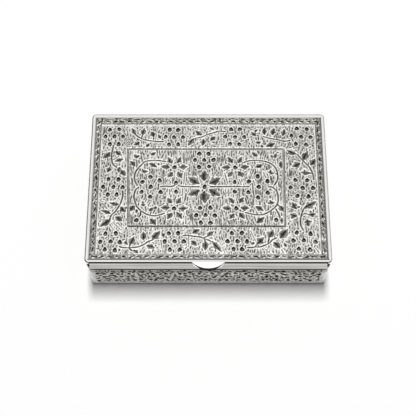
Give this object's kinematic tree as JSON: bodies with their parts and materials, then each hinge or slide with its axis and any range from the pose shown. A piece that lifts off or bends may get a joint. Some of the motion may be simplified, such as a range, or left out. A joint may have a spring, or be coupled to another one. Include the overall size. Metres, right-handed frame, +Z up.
{
  "type": "engraved silver box",
  "caption": "Flat rectangular silver box with an engraved hinged lid, polished rim, half-moon thumbpiece and engraved sides, for papers and keepsakes.",
  "frame": {"origin": "middle of the base, on the surface that the box rests on", "axes": "+X to the right across the front, +Y towards the hinge at the back, +Z up out of the base"},
  "size_m": [0.105, 0.0753, 0.028],
  "materials": {
    "polished_silver": "polished silver",
    "engraved_silver": "bright-cut engraved silver",
    "inside_silver": "satin silver",
    "pin_metal": "drawn silver wire"
  },
  "bodies": {
    "body": {"bottom_sheet": "inside_silver", "front_wall": "engraved_silver", "back_wall": "engraved_silver", "left_wall": "engraved_silver", "right_wall": "engraved_silver", "front_lip": "inside_silver", "left_lip": "inside_silver", "right_lip": "inside_silver", "body_hinge_bearer": "inside_silver", "body_knuckle_1": "polished_silver", "body_knuckle_3": "polished_silver", "body_knuckle_5": "polished_silver", "body_knuckle_7": "polished_silver", "body_knuckle_9": "polished_silver", "hinge_pin": "pin_metal", "barrel_plug_left": "pin_metal", "barrel_plug_right": "pin_metal"},
    "lid": {"lid_front_band": "polished_silver", "lid_front_rim": "polished_silver", "lid_back_band": "polished_silver", "lid_back_rim": "polished_silver", "lid_left_band": "polished_silver", "lid_left_rim": "polished_silver", "lid_right_band": "polished_silver", "lid_right_rim": "polished_silver", "lid_top_plate": "engraved_silver", "lid_hinge_bearer": "inside_silver", "thumbpiece": "polished_silver", "lid_knuckle_2": "polished_silver", "lid_knuckle_4": "polished_silver", "lid_knuckle_6": "polished_silver", "lid_knuckle_8": "polished_silver"}
  },
  "joints": [
    {"name": "lid_hinge", "type": "hinge", "parent": "body", "child": "lid", "pos_m": [0, 0.0345, 0.01895], "axis": [-1, 0, 0], "range_deg": [0, 100]}
  ]
}
